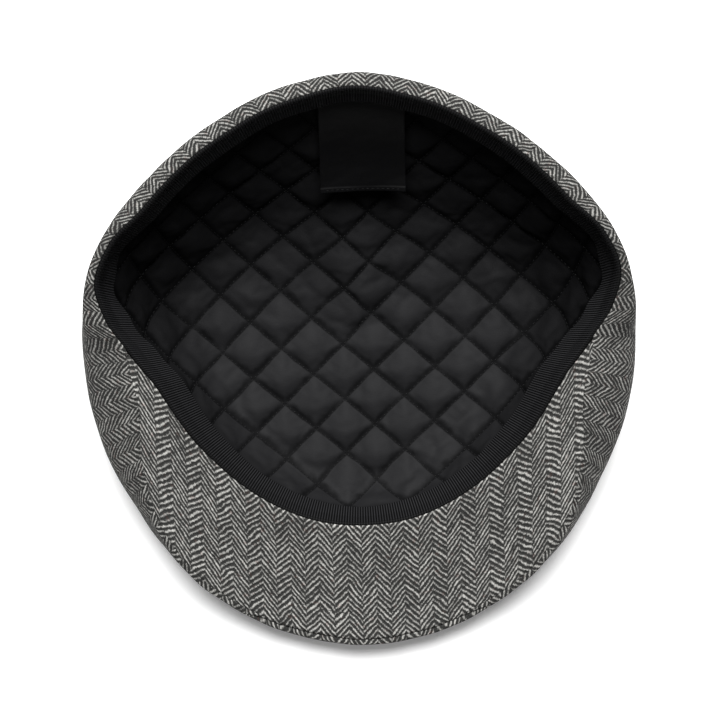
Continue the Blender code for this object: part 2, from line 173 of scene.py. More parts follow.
# ---------- surfaces of the model
def cubic(knots, values, at, flat_ends=False):
    """Cubic through the points that never overshoots them, along the last axis."""
    span = np.diff(knots)
    rate = np.diff(values) / span
    product = rate[..., :-1] * rate[..., 1:]
    total = rate[..., :-1] + rate[..., 1:]
    middle = np.where(product > 0, 2 * product / np.where(total == 0, 1.0, total), 0.0)
    ends = 0.0 if flat_ends else 1.0
    slopes = np.concatenate([rate[..., :1] * ends, middle, rate[..., -1:] * ends], axis=-1)
    at = np.clip(at, knots[..., :1], knots[..., -1:])
    index = (at[..., :, None] >= knots[..., None, 1:-1]).sum(axis=-1)

    def pick(table, shift=0):
        wide = np.broadcast_to(table, at.shape[:-1] + table.shape[-1:])
        return np.take_along_axis(wide, index + shift, axis=-1)

    width = pick(span)
    t = (at - pick(knots)) / width
    return ((2 * t ** 3 - 3 * t ** 2 + 1) * pick(values)
            + (t ** 3 - 2 * t ** 2 + t) * width * pick(slopes)
            + (3 * t ** 2 - 2 * t ** 3) * pick(values, 1)
            + (t ** 3 - t ** 2) * width * pick(slopes, 1))


def blend(share):
    """Smooth step from 0 to 1."""
    share = np.clip(share, 0.0, 1.0)
    return share * share * (3 - 2 * share)


def turn_of(azimuth):
    return np.abs((azimuth + 180) % 360 - 180)


def read_table(table, azimuth):
    """Columns of a table of sections at an array of azimuths."""
    columns = np.array(table, float).T
    turn = turn_of(azimuth)
    return type(table[0])(*[cubic(columns[0], column, turn, flat_ends=True) for column in columns])


def heading(azimuth):
    """Directions in plan, and the lengths of a whole radius share."""
    angle = np.radians(azimuth)
    ray = np.stack([np.sin(angle) * HALF_WIDTH, -np.cos(angle) * HALF_LENGTH], axis=-1)
    reach = np.linalg.norm(ray, axis=-1)
    return ray / reach[..., None], reach


def place(azimuth, radius, height):
    """Points at azimuths (A), radii and heights (A, n)."""
    direction = heading(azimuth)[0]
    return np.stack([direction[:, None, 0] * radius, AXIS_Y + direction[:, None, 1] * radius,
                     np.broadcast_to(height, radius.shape)], axis=-1)


def rim(azimuth):
    row = read_table(SECTIONS, azimuth)
    return row.rim_radius * heading(azimuth)[1], row.rim_height * CAP_HEIGHT


def summed(steps):
    """Running sum from 0, along the last axis."""
    return np.concatenate([np.zeros_like(steps[..., :1]), np.cumsum(steps, axis=-1)], axis=-1)


def run_lengths(radii, heights):
    return summed(np.hypot(np.diff(radii), np.diff(heights)))


def arc_lengths(points):
    """Length along a line of points (A, 3)."""
    return summed(np.linalg.norm(np.diff(points, axis=0), axis=1))


def unit(vectors):
    return vectors / np.maximum(np.linalg.norm(vectors, axis=-1, keepdims=True), 1e-12)


def cloth_places(across, along):
    """Places on the cloth, in millimetres, for lengths across and along it."""
    return np.stack(np.broadcast_arrays(across, along), axis=-1) * MM


def groove_wander(azimuth):
    """How far the groove round the peak strays from its line."""
    turn = np.radians(azimuth)
    stray = np.sin(turn * 9 + 1) + 0.7 * np.sin(turn * 21 + 2) + 0.5 * np.sin(turn * 47 + 4)
    return 0.00020 * stray * (1 - blend((turn_of(azimuth) - 45) / 20))


def crown_outline(azimuth):
    row = read_table(SECTIONS, azimuth)
    reach = heading(azimuth)[1]
    mouth = row.mouth_radius * reach + groove_wander(azimuth)
    level = row.mouth_height * CAP_HEIGHT
    radii = np.stack([mouth, mouth + LIP_WIDTH] + [share * reach for share in (
        row.bulge_radius, row.seam_radius, row.belly_radius, row.foot_radius, 0)], axis=1)
    heights = np.stack([level, level - LIP_DROP] + [share * CAP_HEIGHT for share in (
        row.bulge_height, row.seam_height, row.belly_height, 0 * reach, 0 * reach)], axis=1)
    return radii, heights, run_lengths(radii, heights)


def crown_points(azimuth, length):
    """Shell points at azimuths (A) and lengths (A, n) down the section from the mouth."""
    radii, heights, lengths = crown_outline(azimuth)
    return place(azimuth, cubic(lengths, radii, length), cubic(lengths, heights, length))


def folded_points(azimuth, length):
    """Shell points behind the peak: the cloth lies nearly level along the rim, then falls."""
    radii, heights, lengths = crown_outline(azimuth)
    whole = (radii[:, 2] - radii[:, 0])[:, None]
    drop = (heights[:, 0] - heights[:, 2])[:, None]
    width = whole - FOLD_LEAN * drop * 0.8
    reach = width / FOLD_LEVEL / 0.99
    per_share = 200
    fine = np.linspace(0, FOLD_END, round(FOLD_END * per_share) + 1)
    rate = FOLD_LEVEL * np.clip((FOLD_END - fine) / FOLD_TURN, 0, 1)
    fall, out = (summed((part[1:] + part[:-1]) / 2) / per_share
                 for part in (np.sqrt(1 - rate ** 2), rate))
    wall = drop - fall[-1] * reach
    total = FOLD_END * reach + wall
    travel = length * total / lengths[:, 2:3]
    share = np.clip((travel - FOLD_END * reach) / wall, 0, 1)
    top = np.interp(travel / reach, fine, out) * reach
    radius = radii[:, :1] + top + (whole - out[-1] * reach) * share
    height = heights[:, :1] - np.interp(travel / reach, fine, fall) * reach - wall * share
    below = length > lengths[:, 2:3]
    radius = np.where(below, cubic(lengths, radii, length), radius)
    height = np.where(below, cubic(lengths, heights, length), height)
    return place(azimuth, radius, height)


def seam_length(azimuth):
    share = blend((turn_of(azimuth) - TAPER_START) / (TAPER_END - TAPER_START))
    return share * crown_outline(azimuth)[2][:, 3]


def band_points(azimuth, width, outward=0.0):
    """Head side of the sweatband at azimuths (A) and widths (A, n) down from the rim."""
    radius, height = rim(azimuth)
    lean = read_table(SECTIONS, azimuth).band_lean * BAND_WIDTH
    share = width / BAND_WIDTH
    drop = np.sqrt(BAND_WIDTH ** 2 - lean ** 2)
    head_side = (radius - CLEARANCE - BAND_THICKNESS)[:, None] - lean[:, None] * share
    return place(azimuth, head_side + outward, height[:, None] - drop[:, None] * share)


def lining_outline(azimuth):
    row = read_table(POUCHES, azimuth)
    radius, height = rim(azimuth)
    lean = read_table(SECTIONS, azimuth).band_lean * BAND_WIDTH
    share = (PEAK_THICKNESS + LINING_EDGE_DROP) / BAND_WIDTH
    room = BAND_THICKNESS + LABEL_THICKNESS + 2 * CLEARANCE
    edge_radius = radius - CLEARANCE - BAND_THICKNESS - lean * share + room
    edge_height = height - np.sqrt(BAND_WIDTH ** 2 - lean ** 2) * share
    radii = np.stack([0 * radius, row.bed_radius * radius, row.knee_radius * radius,
                      row.cheek_radius * radius, edge_radius], axis=1)
    heights = np.stack([0 * height + LINING_CENTRE_HEIGHT, row.bed_height * height,
                        row.knee_height * height, row.cheek_height * height, edge_height], axis=1)
    return radii, heights, run_lengths(radii, heights)


def lining_points(azimuth, length):
    radii, heights, lengths = lining_outline(azimuth)
    return place(azimuth, cubic(lengths, radii, length), cubic(lengths, heights, length))


def peak_points(azimuth, share):
    """Underside of the peak at azimuths (A) and shares (A, n) from the head opening outward."""
    row = read_table(SECTIONS, azimuth)
    radius, height = rim(azimuth)
    inner = (radius + TOUCH)[:, None]
    mouth = row.mouth_radius * heading(azimuth)[1] + groove_wander(azimuth)
    outer = (mouth + GROOVE_OVERLAP)[:, None]
    sag = 4 * PEAK_SAG * share * (1 - share) * blend((outer - inner) / BAND_WIDTH)
    level = height[:, None] + (row.mouth_height * CAP_HEIGHT - height)[:, None] * share
    return place(azimuth, inner + (outer - inner) * share, level - sag)


def grid_normals(points, guide, ring=False):
    """Unit normals of a grid of points (A, n, 3), all turned the way that suits guide."""
    if ring:
        wide = np.concatenate([points[-1:], points, points[:1]])
        across = np.gradient(wide, axis=0)[1:-1]
    else:
        across = np.gradient(points, axis=0)
    along = np.gradient(points, axis=1)
    normal = unit(np.cross(across, along))
    return normal * np.sign((normal * guide).sum())


def waves(points, size, seed, octaves=6):
    """Smooth bumps between about -1 and 1, with features of the given size."""
    rng = np.random.RandomState(seed)
    total = np.zeros(points.shape[:-1])
    for _ in range(octaves):
        direction = rng.normal(size=3)
        direction *= 2 * math.pi / size / np.linalg.norm(direction) * rng.uniform(0.6, 1.4)
        total += np.sin(points @ direction + rng.uniform(0, 2 * math.pi))
    return total / octaves * 1.6


# ---------- meshes
def put(name, data):
    """An object in the scene for a mesh, a light or a camera."""
    obj = bpy.data.objects.new(name, data)
    bpy.context.scene.collection.objects.link(obj)
    return obj


def make_mesh(name, points, faces, cloth=None, material=None, smooth=True):
    """A mesh object from points (n, 3), arrays of quads or triangles, and cloth places in mm."""
    mesh = bpy.data.meshes.new(name)
    points = np.asarray(points, np.float32)
    blocks = [np.asarray(block, np.int32) for block in faces if len(block)]
    corners = np.concatenate([block.ravel() for block in blocks])
    sizes = np.concatenate([np.full(len(block), block.shape[1], np.int32) for block in blocks])
    mesh.vertices.add(len(points))
    mesh.vertices.foreach_set("co", points.ravel())
    mesh.loops.add(len(corners))
    mesh.loops.foreach_set("vertex_index", corners)
    mesh.polygons.add(len(sizes))
    mesh.polygons.foreach_set("loop_start", summed(sizes)[:-1].astype(np.int32))
    if cloth is not None:
        layer = mesh.uv_layers.new(name="cloth")
        layer.data.foreach_set("uv", np.asarray(cloth, np.float32)[corners].ravel())
    mesh.update(calc_edges=True)
    mesh.validate()
    if smooth:
        mesh.shade_smooth()
    if material:
        mesh.materials.append(material)
    return put(name, mesh)


def grid_quads(columns, rows, ring_columns=False, ring_rows=False):
    i = np.arange(columns if ring_columns else columns - 1)[:, None]
    j = np.arange(rows if ring_rows else rows - 1)[None, :]
    here = i * rows
    beyond = (i + 1) % columns * rows
    up = (j + 1) % rows
    quads = np.stack([here + j, here + up, beyond + up, beyond + j], axis=-1)
    return quads.reshape(-1, 4)


def zip_rows(first, second):
    """Triangles between two lines of points that run the same way."""
    i = j = 0
    faces = []
    while i < len(first) - 1 or j < len(second) - 1:
        ahead = (i + 1) * (len(second) - 1) <= (j + 1) * (len(first) - 1)
        if j == len(second) - 1 or (i < len(first) - 1 and ahead):
            faces.append((first[i], first[i + 1], second[j]))
            i += 1
        else:
            faces.append((first[i], second[j + 1], second[j]))
            j += 1
    return faces


def closed_sheet(name, skin, normal, cloth, thickness, material, back_rows, ring=False):
    """Closed wall of cloth: a fine skin (A, n), turned over at both edges to a coarser back."""
    columns, rows = skin.shape[:2]
    pick = np.linspace(rows - 1, 0, back_rows).round().astype(int)
    back = skin[:, pick] - normal[:, pick] * thickness
    loop = np.concatenate([skin, back], axis=1)
    cloth_loop = np.concatenate([cloth, cloth[:, pick]], axis=1)
    count = rows + back_rows
    quads = grid_quads(columns, count, ring_columns=ring, ring_rows=True)
    ends = []
    if not ring:
        for start in (0, (columns - 1) * count):
            front_line = [start + row for row in range(rows)]
            back_line = [start + count - 1 - row for row in range(back_rows)]
            cap = zip_rows(front_line, back_line)
            ends += [face[::-1] for face in cap] if start else cap
    return make_mesh(name, loop.reshape(-1, 3), [quads, ends], cloth_loop.reshape(-1, 2), material)


def ease(count, sharp=1.6):
    """Shares from 0 to 1 that crowd towards both ends."""
    t = np.linspace(-1, 1, count)
    return (np.sign(t) * (1 - (1 - np.abs(t)) ** sharp) + 1) / 2


def edge_rounding(distance, radius):
    """How deep a turned edge has sunk at a distance from its fold."""
    near = np.clip(1 - distance / radius, 0.0, 1.0)
    return radius * (1 - np.sqrt(np.maximum(1 - near ** 2, 0.0)))


def narrowed(radius, width):
    """A turned edge's radius where the cloth beside it is only so wide."""
    return np.minimum(radius, 0.4 * width)


# ---------- materials
class Graph:
    """Short forms for the nodes of one material."""

    def __init__(self, name, roughness, specular=0.5):
        self.material = bpy.data.materials.new(name)
        self.material.use_nodes = True
        self.tree = self.material.node_tree
        self.shader = self.tree.nodes["Principled BSDF"]
        self.shader.inputs["Roughness"].default_value = roughness
        self.shader.inputs["Specular IOR Level"].default_value = specular

    def link(self, source, target):
        if isinstance(source, bpy.types.NodeSocket):
            self.tree.links.new(source, target)
        else:
            target.default_value = source

    def node(self, kind, inputs=(), output=0, **settings):
        made = self.tree.nodes.new(kind)
        for key, value in settings.items():
            setattr(made, key, value)
        for key, value in dict(inputs).items():
            self.link(value, made.inputs[key])
        return made.outputs[output]

    def math(self, operation, a, b=0.0):
        return self.node("ShaderNodeMath", {0: a, 1: b}, operation=operation)

    add = partialmethod(math, "ADD")
    sub = partialmethod(math, "SUBTRACT")
    mul = partialmethod(math, "MULTIPLY")
    div = partialmethod(math, "DIVIDE")
    floor = partialmethod(math, "FLOOR")
    fract = partialmethod(math, "FRACT")

    def step(self, value, low, high):
        """Smooth step of value from low to high."""
        return self.node("ShaderNodeMapRange", {"Value": value, "From Min": low, "From Max": high},
                         interpolation_type="SMOOTHSTEP")

    def noise(self, vector, scale, detail=2.0, roughness=0.5):
        inputs = {"Vector": vector, "Scale": scale, "Detail": detail, "Roughness": roughness}
        return self.node("ShaderNodeTexNoise", inputs, "Fac")

    def shifted(self, vector, by):
        return self.node("ShaderNodeVectorMath", {0: vector, 1: (by, -by, by)}, operation="ADD")

    def zigzag(self, value):
        """1 at whole numbers, 0 halfway between them."""
        return self.math("ABSOLUTE", self.sub(self.mul(self.fract(value), 2.0), 1.0))

    def lift(self, share, low):
        """From low to 1 as the share goes from 0 to 1."""
        return self.add(low, self.mul(share, 1 - low))

    def wander(self, value, noise, amount):
        """Value moved by a noise whose mean is a half."""
        return self.add(value, self.mul(self.sub(noise, 0.5), amount))

    def random(self, vector):
        return self.node("ShaderNodeTexWhiteNoise", {"Vector": vector}, "Value")

    def join(self, x, y, z=0.0):
        return self.node("ShaderNodeCombineXYZ", {0: x, 1: y, 2: z})

    def mix(self, factor, a, b):
        return self.node("ShaderNodeMix", {"Factor": factor, 6: a, 7: b}, 2, data_type="RGBA")

    def scale_colour(self, colour, factor):
        colour = colour[:3] if isinstance(colour, tuple) else colour
        return self.node("ShaderNodeVectorMath", {0: colour, "Scale": factor}, operation="SCALE")

    def finish(self, colour, height=None, distance=0.0001, strength=1.0):
        self.link(colour, self.shader.inputs["Base Color"])
        if height is not None:
            bump = self.node("ShaderNodeBump", {"Height": height, "Distance": distance,
                                                "Strength": strength})
            self.link(bump, self.shader.inputs["Normal"])
        return self.material


def cloth_axes(graph):
    coordinates = graph.node("ShaderNodeUVMap", uv_map="cloth")
    split = graph.tree.nodes.new("ShaderNodeSeparateXYZ")
    graph.link(coordinates, split.inputs[0])
    return coordinates, split.outputs[0], split.outputs[1]


# Tweed: how much of a stroke's pitch is pale, how soft its edge is, and its yarns
TWEED_PALE = 0.26
STROKE_SOFT = 0.34
PALE_YARN = (0.257, 0.254, 0.240, 1)
PALE_WARM_YARN = (0.246, 0.218, 0.205, 1)
DARK_YARN = (0.0200, 0.0200, 0.0192, 1)
DARK_WARM_YARN = (0.0270, 0.0205, 0.0185, 1)

# Herringbone: width of a column of strokes, pitch of the strokes down it, their slope, how far
# the strokes of two columns miss each other at every second border and at each, the yarns across
# a column, and the darker border of a column; millimetres, shares of the pitch and of the column
COLUMN = 5.44
STROKE_PITCH = 2.29
STROKE_SLOPE = 1.06
STROKE_MISS = 0.42
POINT_MISS = 0.2
ENDS = 9.0
BORDER_WIDTH = 0.10
BORDER_SHADE = 0.62


def tweed_material(name, painted_brightness):
    graph = Graph(name, 0.95, specular=0.1)
    cloth, u, v = cloth_axes(graph)
    u = graph.wander(u, graph.noise(cloth, 0.13, 1.0), 1.5)
    v = graph.wander(v, graph.noise(graph.shifted(cloth, 31.0), 0.13, 2.0), 2.4)
    u = graph.wander(u, graph.noise(graph.shifted(cloth, 57.0), 0.8, 2.0), 0.22)
    v = graph.wander(v, graph.noise(graph.shifted(cloth, 83.0), 0.8, 2.0), 0.36)
    stripe = graph.floor(graph.div(u, COLUMN))
    odd = graph.math("FLOORED_MODULO", stripe, 2.0)
    across = graph.sub(graph.div(u, COLUMN), stripe)
    border = graph.sub(0.5, graph.math("ABSOLUTE", graph.sub(across, 0.5)))
    stepped = graph.div(graph.add(graph.floor(graph.mul(across, ENDS)), 0.5), ENDS)
    across = graph.add(graph.mul(across, 0.7), graph.mul(stepped, 0.3))
    climb = graph.mul(graph.sub(1.0, odd), across)
    climb = graph.add(graph.mul(odd, graph.sub(1.0, across)), climb)
    climb = graph.mul(climb, COLUMN * STROKE_SLOPE / STROKE_PITCH)
    miss = graph.mul(graph.floor(graph.div(graph.add(stripe, 1.0), 2.0)), STROKE_MISS)
    miss = graph.add(miss, graph.mul(stripe, POINT_MISS))
    stroke = graph.add(graph.div(v, STROKE_PITCH), graph.add(climb, miss))
    number = graph.floor(stroke)
    away = graph.zigzag(stroke)
    own = graph.random(graph.join(number, stripe, 7.0))
    slub = graph.noise(graph.join(u, v, 3.0), 0.75, 2.0)
    patch = graph.noise(cloth, 0.075, 3.0)
    grain = graph.noise(graph.join(u, v, 12.0), 1.3, 2.0, roughness=0.6)
    thin = graph.noise(graph.join(u, v, 9.0), 2.0, 2.0)
    edge = TWEED_PALE
    for noise, amount in ((own, 0.10), (slub, 0.85), (patch, 0.22), (thin, 0.60), (grain, 0.80)):
        edge = graph.wander(edge, noise, amount)
    limits = graph.sub(edge, STROKE_SOFT), graph.add(edge, STROKE_SOFT)
    pale = graph.sub(1.0, graph.step(away, *limits))
    pale = graph.mul(pale, graph.lift(graph.step(border, 0.0, BORDER_WIDTH), BORDER_SHADE))
    # Each yarn crosses the stroke as a bead, and stray fibres mottle the whole cloth
    bead = graph.zigzag(graph.mul(across, ENDS))
    fine = graph.join(graph.mul(u, 1.4), graph.mul(v, 1.4), 5.0)
    fibre = graph.noise(fine, 2.6, 3.0, roughness=0.7)
    pale_shade = graph.add(graph.mul(fibre, 0.8), graph.mul(grain, 1.3))
    pale_shade = graph.add(graph.mul(own, 0.50), pale_shade)
    pale_shade = graph.add(-0.06, graph.sub(pale_shade, graph.mul(graph.mul(bead, bead), 0.42)))
    dark_shade = graph.add(graph.mul(graph.step(fibre, 0.36, 0.78), 1.6), graph.mul(grain, 0.9))
    dark_shade = graph.add(0.30, dark_shade)
    tint = graph.noise(cloth, 0.42, 2.0)
    pale_colour = graph.mix(graph.step(tint, 0.60, 0.72), PALE_YARN, PALE_WARM_YARN)
    dark_colour = graph.mix(graph.step(tint, 0.60, 0.72), DARK_YARN, DARK_WARM_YARN)
    colour = graph.mix(pale, graph.scale_colour(dark_colour, dark_shade),
                       graph.scale_colour(pale_colour, pale_shade))
    # Below 1 this paints shade evenly over the whole cloth
    colour = graph.scale_colour(colour, painted_brightness)
    rounded = graph.sub(1.0, graph.mul(away, away))
    height = graph.add(graph.mul(rounded, 0.8), graph.mul(fibre, 0.5))
    height = graph.sub(height, graph.mul(bead, 0.25))
    return graph.finish(colour, height, distance=0.00022, strength=0.9)


def painted_seam_shade(graph, u, v):
    """Painted shade of the quilting: 1 on a diamond, dark by its seams where shade falls in their
    furrows, most of all those to the front.
    """
    turned = np.linalg.inv(np.stack([FIRST, SECOND], axis=1))
    away = []
    for row, start in zip(turned / MM, turned @ SHIFT):
        lattice = graph.add(graph.mul(u, row[0]), graph.add(graph.mul(v, row[1]), 0.5 - start))
        beyond = graph.sub(graph.fract(lattice), 0.5)
        away.append(graph.math("MAXIMUM", graph.mul(beyond, FURROW_LEAN), graph.mul(beyond, -1.0)))
    near = graph.math("MINIMUM", away[0], away[1])
    near = graph.wander(near, graph.noise(graph.join(u, v, 21.0), 0.16, 3.0, roughness=0.6), 0.085)
    return graph.lift(graph.step(near, 0.004, FURROW_WIDTH), FURROW_SHADE)


def satin_material(name, colour, roughness, weave_pitch, specular, quilted=False):
    graph = Graph(name, roughness, specular=specular)
    cloth, u, v = cloth_axes(graph)
    along = graph.join(graph.mul(u, 0.35), graph.mul(v, 1.0 / weave_pitch))
    thread = graph.noise(along, 1.0, 2.0)
    soft = graph.noise(cloth, 0.35, 3.0)
    shade = graph.add(0.8, graph.add(graph.mul(thread, 0.25), graph.mul(soft, 0.2)))
    if quilted:
        # The seams' painted shade darkens both the satin's colour and its shine
        painted_shade = painted_seam_shade(graph, u, v)
        # Painted shade: the lining darkens with distance from a point in front of its middle, most
        # towards the back and sides where the pouch is deep
        back = graph.math("POWER", graph.add(v, FALLOFF_CENTRE), 2.0)
        reach = graph.math("SQRT", graph.add(graph.mul(u, u), back))
        falloff_shade = graph.mul(graph.step(reach, FALLOFF_START, FALLOFF_END), FALLOFF_SHADE)
        painted_shade = graph.mul(painted_shade, graph.sub(1.0, falloff_shade))
        shade = graph.mul(shade, painted_shade)
        graph.link(graph.mul(painted_shade, specular), graph.shader.inputs["Specular IOR Level"])
    height = graph.add(graph.mul(thread, 0.25), graph.mul(soft, 1.0))
    return graph.finish(graph.scale_colour((*colour, 1), shade), height, distance=0.00012,
                        strength=0.7)


def ribbon_material():
    graph = Graph("grosgrain", 0.65, specular=0.08)
    cloth, u, v = cloth_axes(graph)
    fibre = graph.noise(graph.join(graph.mul(u, 3.0), graph.mul(v, 0.8)), 1.0, 3.0)
    rib = graph.zigzag(graph.div(u, RIB_PITCH * MM))
    lit_crest = graph.sub(1.0, rib)
    # Painted highlight on each rib's crest and painted shade in the hollows between ribs
    shade = graph.add(0.02, graph.mul(fibre, 0.3))
    shade = graph.add(graph.mul(graph.mul(lit_crest, lit_crest), 3.2), shade)
    # The ribbon is darkened along its edge at the rim
    beyond_dark_edge = graph.step(v, DARK_EDGE_WIDTH * MM * 0.8, DARK_EDGE_WIDTH * MM)
    shade = graph.mul(shade, graph.lift(beyond_dark_edge, 0.25))
    height = graph.add(graph.mul(fibre, 0.5), graph.sub(1.0, graph.mul(rib, rib)))
    return graph.finish(graph.scale_colour((0.0074, 0.0074, 0.0079, 1), shade), height,
                        distance=0.00012, strength=0.8)


def thread_material(name, colour, roughness):
    graph = Graph(name, roughness, specular=0.12)
    place_in = graph.node("ShaderNodeTexCoord", output="Object")
    twist = graph.noise(place_in, 3500.0, 1.0)
    shade = graph.add(0.7, graph.mul(twist, 0.6))
    return graph.finish(graph.scale_colour((*colour, 1), shade), twist, distance=0.00003)


tweed = tweed_material("tweed", 1.0)
# The crown's cloth is the peak's tweed painted darker: painted shade over the crown's sides, top
# and back
shaded_crown_tweed = tweed_material("shaded_crown_tweed", 0.78)
quilt_satin = satin_material("quilted_satin", (0.0083, 0.0083, 0.0089), roughness=0.66,
                             weave_pitch=0.28, specular=0.078, quilted=True)
label_satin = satin_material("label_satin", (0.0020, 0.0020, 0.0022), roughness=0.48,
                             weave_pitch=0.22, specular=0.10)
grosgrain = ribbon_material()
black_thread = thread_material("black_thread", (0.0055, 0.0055, 0.0059), 0.5)
dark_thread = thread_material("dark_thread", (0.03, 0.03, 0.029), 0.6)


def dress(obj, slot, *nodes):
    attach(obj, "root")
    if nodes:
        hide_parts(*nodes)
    return obj


# ---------- stitches
def stitch_row(line, normals, pitch, length):
    """Starts, ends and normals of stitches of a length, a pitch apart along a line."""
    arc = arc_lengths(line)
    marks = np.arange(pitch / 2, arc[-1] - length, pitch)

    def at(distance, table):
        return np.stack([np.interp(distance, arc, column) for column in table.T], axis=1)

    return at(marks, line), at(marks + length, line), at(marks, normals)


def sew(name, rows, radius, material, slot):
    """One mesh of short stitches, each a bowed five-sided bar between two points."""
    starts, ends, normals = rows
    sides, rings = 5, 4
    share = np.linspace(0, 1, rings)
    direction = unit(ends - starts)
    across = unit(np.cross(direction, normals))
    up = np.cross(across, direction)
    arch = np.sin(math.pi * share)
    girth = 0.45 + 0.55 * np.sqrt(arch)
    angle = np.arange(sides) * 2 * math.pi / sides
    centre = starts[:, None] + (ends - starts)[:, None] * share[None, :, None]
    centre = centre + up[:, None] * (arch * radius * 0.9)[None, :, None]
    circle = (np.cos(angle)[None, None, :, None] * across[:, None, None, :]
              + np.sin(angle)[None, None, :, None] * up[:, None, None, :])
    points = centre[:, :, None, :] + circle * (radius * girth)[None, :, None, None]
    base = np.arange(len(starts))[:, None, None] * rings * sides
    ring = np.arange(rings - 1)[None, :, None] * sides
    side = np.arange(sides)[None, None, :]
    beside = (side + 1) % sides
    bars = np.stack([base + ring + side, base + ring + beside,
                     base + ring + sides + beside, base + ring + sides + side], axis=-1)
    first = base[:, 0] + np.arange(sides)[None, ::-1]
    last = base[:, 0] + (rings - 1) * sides + np.arange(sides)[None, :]
    obj = make_mesh(name, points.reshape(-1, 3), [bars.reshape(-1, 4), first, last], None, material)
    return dress(obj, slot)


# ---------- tweed shell
def make_side(name, side, node):
    """Side panel from beside the peak to the centre-back seam."""
    columns, rows = 320, 96
    end = 180 + math.degrees(0.00025 / (SECTIONS[-1].rim_radius * HALF_LENGTH))
    azimuth = TAPER_START + SIDE_TIP + (end - TAPER_START - SIDE_TIP) * ease(columns, 1.15)
    depth = seam_length(azimuth) - TOUCH
    length = depth[:, None] * ease(rows, 1.5)[None, :]
    behind = blend((azimuth - PEAK_END) / 10)[:, None]
    points = crown_points(azimuth * side, length)
    points += (folded_points(azimuth * side, length) - points) * behind[..., None]
    normal = grid_normals(points, points - np.array([0, AXIS_Y, CAP_HEIGHT * 0.8]))
    arc = arc_lengths(crown_points(azimuth * side, crown_outline(azimuth)[2][:, 2:3])[:, 0])
    from_seam = depth[:, None] - length
    from_back = (arc[-1] - arc)[:, None]
    rim_round = narrowed(SEAM_ROUND + (RIM_ROUND - SEAM_ROUND) * behind, depth[:, None])
    sink = edge_rounding(length, rim_round)
    sink = sink + edge_rounding(from_seam, narrowed(SEAM_ROUND, depth[:, None]))
    sink = np.maximum(sink, edge_rounding(from_back, FOLD_ROUND))
    swell = 0.0004 * waves(points, 0.045, 11) + 0.00015 * waves(points, 0.014, 12)
    swell *= blend(np.minimum(length, from_seam) / 0.012)
    points = points + normal * (swell - sink)[..., None]
    drawn = RIM_DRAW * behind * (1 - np.exp(-length / RIM_DRAW_REACH))
    cloth = cloth_places(side * from_back, length + drawn)
    obj = closed_sheet(name, points, normal, cloth, TWEED_THICKNESS, shaded_crown_tweed, back_rows=14)
    return dress(obj, "tweed", node)


def make_top():
    """Top panel: the belly, the patch the cap lies on and the roll over the peak's edge."""
    columns, rows = 480, 60
    azimuth = np.linspace(-180, 180, columns, endpoint=False)
    radii, heights, lengths = crown_outline(azimuth)
    start = seam_length(azimuth) + TOUCH
    foot = lengths[:, 5]
    length = start[:, None] + (foot - start)[:, None] * ease(rows, 1.35)[None, :]
    points = crown_points(azimuth, length)
    normal = grid_normals(points, points - np.array([0, AXIS_Y, CAP_HEIGHT]), ring=True)
    from_seam = length - start[:, None]
    front = 1 - blend((turn_of(azimuth) - TAPER_START) / 10)[:, None]
    sink = edge_rounding(from_seam, SEAM_ROUND + (GROOVE_ROUND - SEAM_ROUND) * front)
    swell = 0.0003 * waves(points, 0.05, 21)
    swell = swell * blend(from_seam / 0.012) * blend(points[..., 2] / 0.006)
    points = points + normal * (swell - sink)[..., None]
    points[..., 2] = np.maximum(points[..., 2], 0.0)
    shrink = np.linspace(1, 0.02, 20)[None, 1:]
    floor = place(azimuth, radii[:, 5:6] * shrink, 0 * shrink)
    skin = np.concatenate([points, floor], axis=1)
    normals = np.concatenate([normal, np.broadcast_to([0.0, 0.0, -1.0], floor.shape)], axis=1)
    reach = np.concatenate([lengths[:, -1:] - length, radii[:, 5:6] * shrink], axis=1)
    flat_radius = np.maximum(np.hypot(skin[..., 0], skin[..., 1] - AXIS_Y), 1e-5)
    stretch = reach / flat_radius
    sideways = (np.sin(np.radians(azimuth)) ** 2)[:, None]
    cloth = cloth_places(skin[..., 0] * stretch ** sideways + PEAK_COLUMN_SHIFT + COLUMN / MM,
                         (skin[..., 1] - AXIS_Y) * stretch ** (1 - sideways))
    obj = closed_sheet("top_panel", skin, normals, cloth, TWEED_THICKNESS, shaded_crown_tweed,
                       back_rows=16, ring=True)
    return dress(obj, "tweed", "crown_top")


def make_peak():
    """Cloth-covered underside of the stiff peak."""
    columns, rows = 360, 64
    azimuth = np.linspace(-PEAK_END - PEAK_TIP, PEAK_END + PEAK_TIP, columns)
    share = np.broadcast_to(ease(rows, 1.4)[None, :], (columns, rows))
    points = peak_points(azimuth, share)
    normal = grid_normals(points, np.array([0.0, 0.0, 1.0]))
    span = np.linalg.norm(points[:, -1] - points[:, 0], axis=1)[:, None]
    from_rim = share * span
    from_edge = (1 - share) * span
    sink = edge_rounding(from_rim, narrowed(FOLD_ROUND, span))
    sink = sink + edge_rounding(from_edge, narrowed(GROOVE_ROUND, span))
    stitched = blend((span - 2 * TOPSTITCH_INSET) / 0.01)
    dip = STITCH_DIP * np.exp(-((from_edge - TOPSTITCH_INSET) / 0.0010) ** 2) * stitched
    swell = PEAK_SWELL * waves(points, PEAK_SWELL_SIZE, 31)
    points = points + normal * (swell - sink - dip)[..., None]
    x = points[..., 0]
    cloth = cloth_places(x + PEAK_COLUMN_SHIFT, points[..., 1] - AXIS_Y - PEAK_BOW * x ** 2)
    obj = closed_sheet("peak_cover", points, normal, cloth, PEAK_THICKNESS, tweed, back_rows=12)
    return dress(obj, "tweed", "peak")


